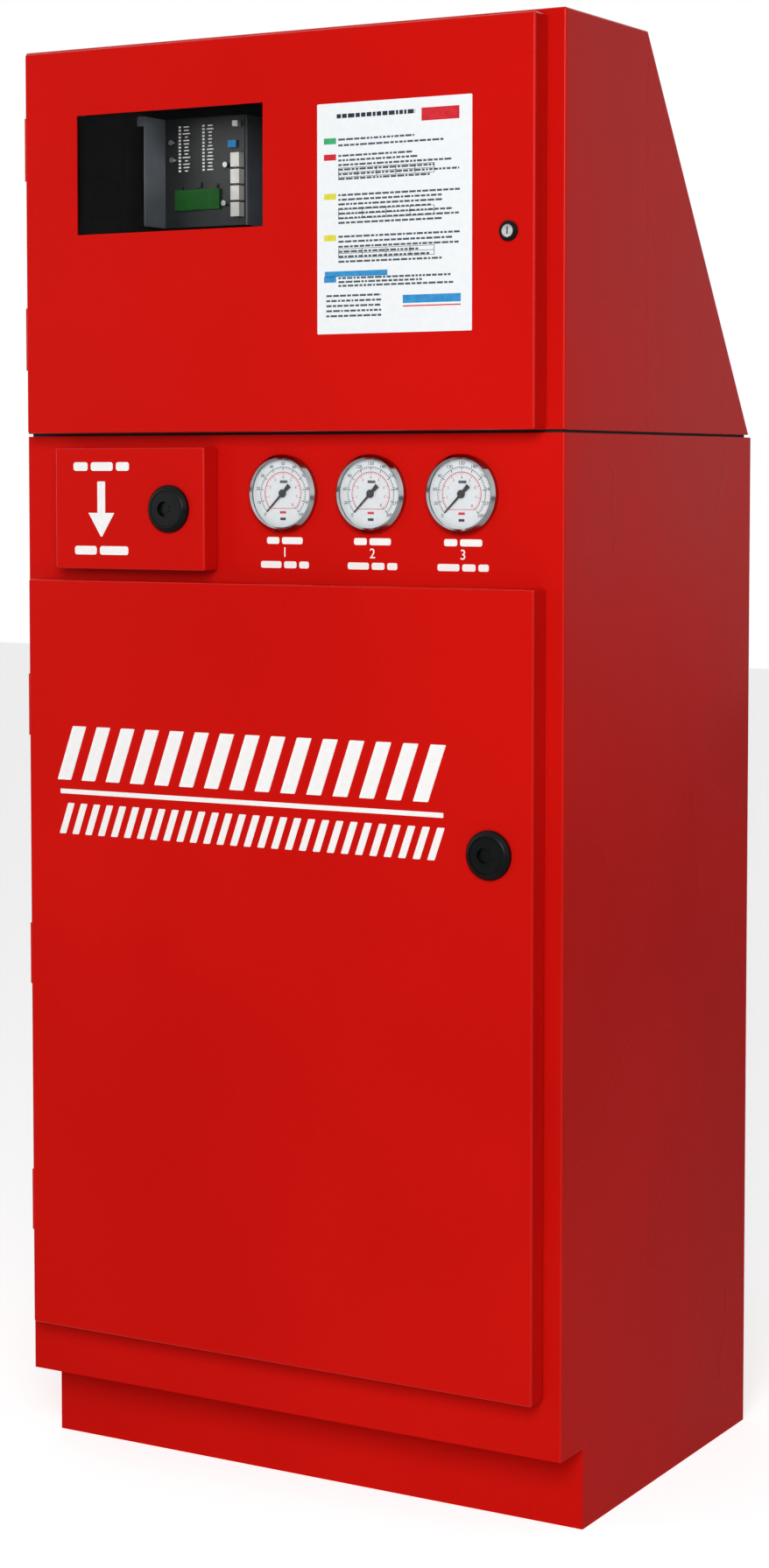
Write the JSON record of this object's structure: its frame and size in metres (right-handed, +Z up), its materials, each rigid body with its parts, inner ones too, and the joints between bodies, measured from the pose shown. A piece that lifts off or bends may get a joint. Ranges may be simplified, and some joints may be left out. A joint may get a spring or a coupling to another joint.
{
  "type": "preaction sprinkler system",
  "caption": "Floor-standing red sprinkler valve cabinet with a hinged main door, a control enclosure with window, a gauge band, a lever door and the valve riser inside",
  "frame": {"origin": "on the floor, in the middle of the four floor anchor holes, which is the middle of the cabinet's width and depth", "axes": "+Z up, the doors face -Y, +X to the right of a person who faces the doors"},
  "size_m": [0.852, 0.5976, 1.83],
  "materials": {
    "cabinet_paint": "gloss red powder coat",
    "black_seal": "matt black rubber",
    "black_plastic": "black glass-filled nylon",
    "zinc_steel": "bright zinc-plated steel",
    "black_paint": "satin black powder coat",
    "polished_steel": "polished stainless steel",
    "dial_white": "matt white dial paint",
    "clear_glass": "clear glass",
    "needle_black": "black needle paint",
    "grey_bracket": "grey painted steel",
    "board_black": "black solder mask",
    "display_green": "green display glass",
    "terminal_white": "white nylon",
    "battery_grey": "dark grey battery case",
    "pipe_red": "red painted steel pipe",
    "valve_iron": "red painted ductile iron",
    "coupling_orange": "orange painted ductile iron",
    "trim_brass": "brass and copper trim",
    "coil_black": "black moulded coil",
    "switch_red": "red painted housing",
    "compressor_grey": "dark grey enamel",
    "lever_red": "red painted lever"
  },
  "bodies": {
    "cabinet": {"left_side_panel": "cabinet_paint", "right_side_panel": "cabinet_paint", "gauge_panel": "cabinet_paint", "bottom_rail": "cabinet_paint", "top_plate": "cabinet_paint", "back_panel": "cabinet_paint", "toe_kick": "cabinet_paint", "control_enclosure": "cabinet_paint", "rear_hood": "cabinet_paint", "lever_compartment": "cabinet_paint", "floor_pan": "cabinet_paint", "fixed_hinge_leaves": "cabinet_paint", "seam_gasket": "black_seal", "base_rails": "zinc_steel", "mounting_plate": "black_paint", "gauge_cases": "polished_steel", "gauge_bezels": "polished_steel", "gauge_dials": "dial_white", "gauge_lenses": "clear_glass", "release_bracket": "grey_bracket", "release_board": "board_black", "lcd_display": "display_green", "terminal_blocks": "terminal_white", "standby_batteries": "battery_grey", "inlet_pipe": "pipe_red", "outlet_pipe": "pipe_red", "drain_pipe": "pipe_red", "preaction_valve_body": "valve_iron", "preaction_valve_cover": "valve_iron", "check_valve": "valve_iron", "control_valve_body": "valve_iron", "grooved_couplings": "coupling_orange", "trim_piping": "trim_brass", "drain_valve_body": "trim_brass", "release_valve": "trim_brass", "solenoid_valve": "coil_black", "pressure_switches": "switch_red", "air_compressor": "compressor_grey"},
    "main_door": {"main_door": "cabinet_paint", "main_door_gasket": "black_seal", "main_door_hinge_leaves": "cabinet_paint", "main_latch_housing": "black_plastic"},
    "main_latch": {"main_latch_rotor": "black_plastic"},
    "control_door": {"control_door": "cabinet_paint", "control_door_gasket": "black_seal", "control_door_hinge_leaves": "cabinet_paint", "window_pane": "clear_glass", "key_lock_housing": "black_plastic"},
    "key_lock": {"key_lock_plug": "zinc_steel"},
    "lever_door": {"lever_door": "cabinet_paint", "lever_door_gasket": "black_seal", "lever_door_hinge_leaves": "cabinet_paint", "lever_latch_housing": "black_plastic"},
    "lever_latch": {"lever_latch_rotor": "black_plastic"},
    "release_lever": {"release_lever": "lever_red"},
    "control_valve_lever": {"control_valve_lever": "lever_red"},
    "drain_handwheel": {"drain_valve_handwheel": "lever_red"},
    "air_needle": {"air_pressure_needle": "needle_black"},
    "supply_needle": {"supply_pressure_needle": "needle_black"},
    "line_needle": {"line_pressure_needle": "needle_black"}
  },
  "joints": [
    {"name": "main_door_hinge", "type": "hinge", "parent": "cabinet", "child": "main_door", "pos_m": [-0.373, -0.2835, 0.6613], "axis": [0, 0, -1], "range_deg": [0, 110]},
    {"name": "main_latch_turn", "type": "hinge", "parent": "main_door", "child": "main_latch", "pos_m": [0.3094, -0.3106, 0.8329], "axis": [0, -1, 0], "range_deg": [0, 90]},
    {"name": "control_door_hinge", "type": "hinge", "parent": "cabinet", "child": "control_door", "pos_m": [-0.373, -0.2835, 1.58025], "axis": [0, 0, -1], "range_deg": [0, 110]},
    {"name": "key_lock_turn", "type": "hinge", "parent": "control_door", "child": "key_lock", "pos_m": [0.3336, -0.3106, 1.57], "axis": [0, -1, 0], "range_deg": [0, 90]},
    {"name": "lever_door_hinge", "type": "hinge", "parent": "cabinet", "child": "lever_door", "pos_m": [-0.3287, -0.2835, 1.242], "axis": [0, 0, -1], "range_deg": [0, 110]},
    {"name": "lever_latch_turn", "type": "hinge", "parent": "lever_door", "child": "lever_latch", "pos_m": [-0.1471, -0.3106, 1.242], "axis": [0, -1, 0], "range_deg": [0, 90]},
    {"name": "release_lever_pull", "type": "hinge", "parent": "cabinet", "child": "release_lever", "pos_m": [-0.2682, -0.232, 1.2714], "axis": [0, 1, 0], "range_deg": [0, 90]},
    {"name": "control_valve_turn", "type": "hinge", "parent": "cabinet", "child": "control_valve_lever", "pos_m": [-0.12, -0.05, 0.455], "axis": [0, 1, 0], "range_deg": [0, 90]},
    {"name": "drain_valve_turn", "type": "hinge", "parent": "cabinet", "child": "drain_handwheel", "pos_m": [0.015, 0.08, 0.7], "axis": [0, 0, 1], "range_deg": [0, 720]},
    {"name": "air_needle_turn", "type": "hinge", "parent": "cabinet", "child": "air_needle", "pos_m": [0.0037, -0.283, 1.2618], "axis": [0, 1, 0], "range_deg": [0, 270], "stiffness_Nm_per_rad": 0.001, "springref_deg": -28.65},
    {"name": "supply_needle_turn", "type": "hinge", "parent": "cabinet", "child": "supply_needle", "pos_m": [0.1297, -0.283, 1.2618], "axis": [0, 1, 0], "range_deg": [0, 270], "stiffness_Nm_per_rad": 0.001, "springref_deg": -28.65},
    {"name": "line_needle_turn", "type": "hinge", "parent": "cabinet", "child": "line_needle", "pos_m": [0.2557, -0.283, 1.2618], "axis": [0, 1, 0], "range_deg": [0, 270], "stiffness_Nm_per_rad": 0.001, "springref_deg": -28.65}
  ]
}
